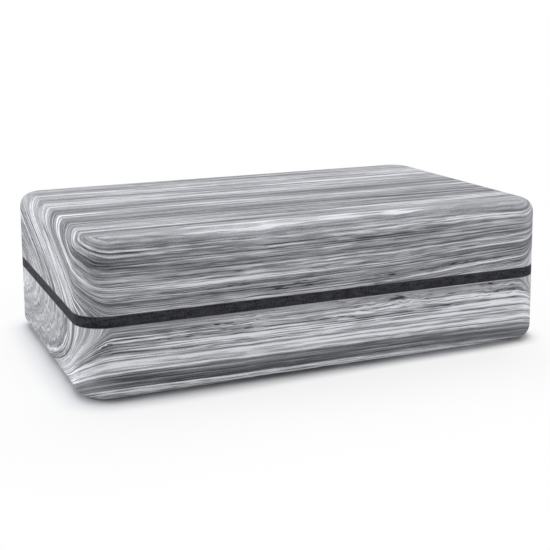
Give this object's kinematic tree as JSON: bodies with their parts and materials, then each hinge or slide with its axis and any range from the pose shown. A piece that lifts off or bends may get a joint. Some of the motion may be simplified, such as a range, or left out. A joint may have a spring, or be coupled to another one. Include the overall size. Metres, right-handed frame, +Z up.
{
  "type": "yoga block",
  "caption": "Firm foam yoga block of two wood-grain slabs glued to a black centre sheet, with round corners and sanded rims, for support in standing and seated poses.",
  "frame": {"origin": "middle of the base, on the surface that the block lies on", "axes": "+X along the block's length, +Y across its width towards the back, +Z up through the layers"},
  "size_m": [0.23, 0.14, 0.07],
  "materials": {
    "upper_grain_foam": "matte marbled grey foam with a wood-grain figure",
    "lower_grain_foam": "matte marbled light grey foam with a wood-grain figure",
    "black_foam": "matte black foam",
    "contact_cement": "thin dried cement film"
  },
  "bodies": {
    "root": {"lower_foam_slab": "lower_grain_foam", "lower_glue_film": "contact_cement", "black_foam_sheet": "black_foam", "upper_glue_film": "contact_cement", "upper_foam_slab": "upper_grain_foam"}
  },
  "joints": []
}
